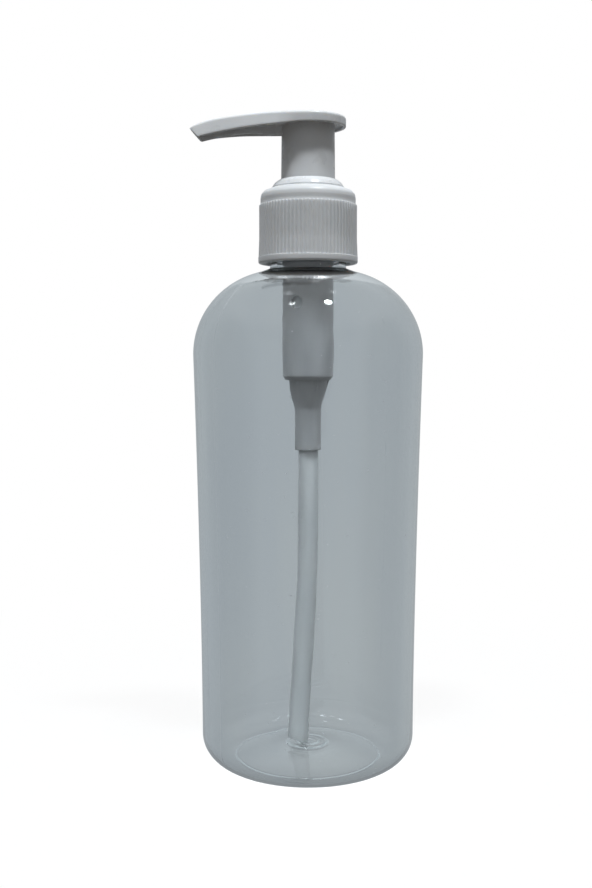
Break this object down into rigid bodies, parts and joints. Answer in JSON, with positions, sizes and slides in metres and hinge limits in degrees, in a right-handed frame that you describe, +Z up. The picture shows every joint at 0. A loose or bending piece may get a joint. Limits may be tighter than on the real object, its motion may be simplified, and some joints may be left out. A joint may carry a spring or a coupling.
{
  "type": "soap pump dispenser",
  "caption": "Round clear bottle with a domed shoulder, a ribbed screw closure and a spring-returned press pump with a side spout and a dip tube.",
  "frame": {"origin": "centre of the bottle's foot ring, on the plane that it stands on and on the pump's axis", "axes": "+Z up along the bottle and the pump; the spout points along -X; +Y completes the right-handed frame"},
  "size_m": [0.0707, 0.07, 0.1975],
  "materials": {
    "clear_pet": "clear blow-moulded, glossy",
    "white_pp": "injection-moulded, satin gloss",
    "natural_pp": "uncoloured, translucent, slightly matt",
    "milky_pe": "milky, soft, waxy",
    "soft_foam": "closed-cell foam, matt",
    "spring_steel": "drawn stainless wire",
    "glass_ball": "polished"
  },
  "bodies": {
    "bottle_body": {"bottle": "clear_pet"},
    "gasket": {"neck_gasket": "soft_foam"},
    "pump_core": {"pump_housing": "natural_pp", "chaplet": "white_pp", "stem_guide": "natural_pp", "ball_retainer": "natural_pp", "dip_tube": "milky_pe", "spring": "spring_steel"},
    "closure": {"closure_cap": "white_pp"},
    "plunger": {"stem_plug": "natural_pp"},
    "head": {"pump_head": "white_pp", "stem": "natural_pp"},
    "piston_ring": {"piston": "milky_pe"},
    "ball": {"inlet_ball": "glass_ball"}
  },
  "joints": [
    {"name": "pump_lift", "type": "slide", "parent": "bottle_body", "child": "gasket", "axis": [0, 0, 1], "range_m": [0, 0.172]},
    {"name": "thread_rise", "type": "slide", "parent": "gasket", "child": "pump_core", "axis": [0, 0, 1], "range_m": [0, 0.0048]},
    {"name": "closure_turn", "type": "hinge", "parent": "pump_core", "child": "closure", "pos_m": [0, 0, 0.165], "axis": [0, 0, 1], "range_deg": [0, 540]},
    {"name": "head_stroke", "type": "slide", "parent": "pump_core", "child": "plunger", "axis": [0, 0, -1], "range_m": [0, 0.012], "stiffness_N_per_m": 600, "springref_m": -0.006, "deforming": ["spring"]},
    {"name": "head_swivel", "type": "hinge", "parent": "plunger", "child": "head", "pos_m": [0, 0, 0.19], "axis": [0, 0, 1], "continuous": true},
    {"name": "piston_valve", "type": "slide", "parent": "plunger", "child": "piston_ring", "axis": [0, 0, 1], "range_m": [0, 0.0012]},
    {"name": "inlet_ball_lift", "type": "slide", "parent": "pump_core", "child": "ball", "axis": [0, 0, 1], "range_m": [0, 0.0012]}
  ],
  "couplings": [
    {"joint": "thread_rise", "follows": "closure_turn", "m_per_rad": 0.00050532}
  ]
}
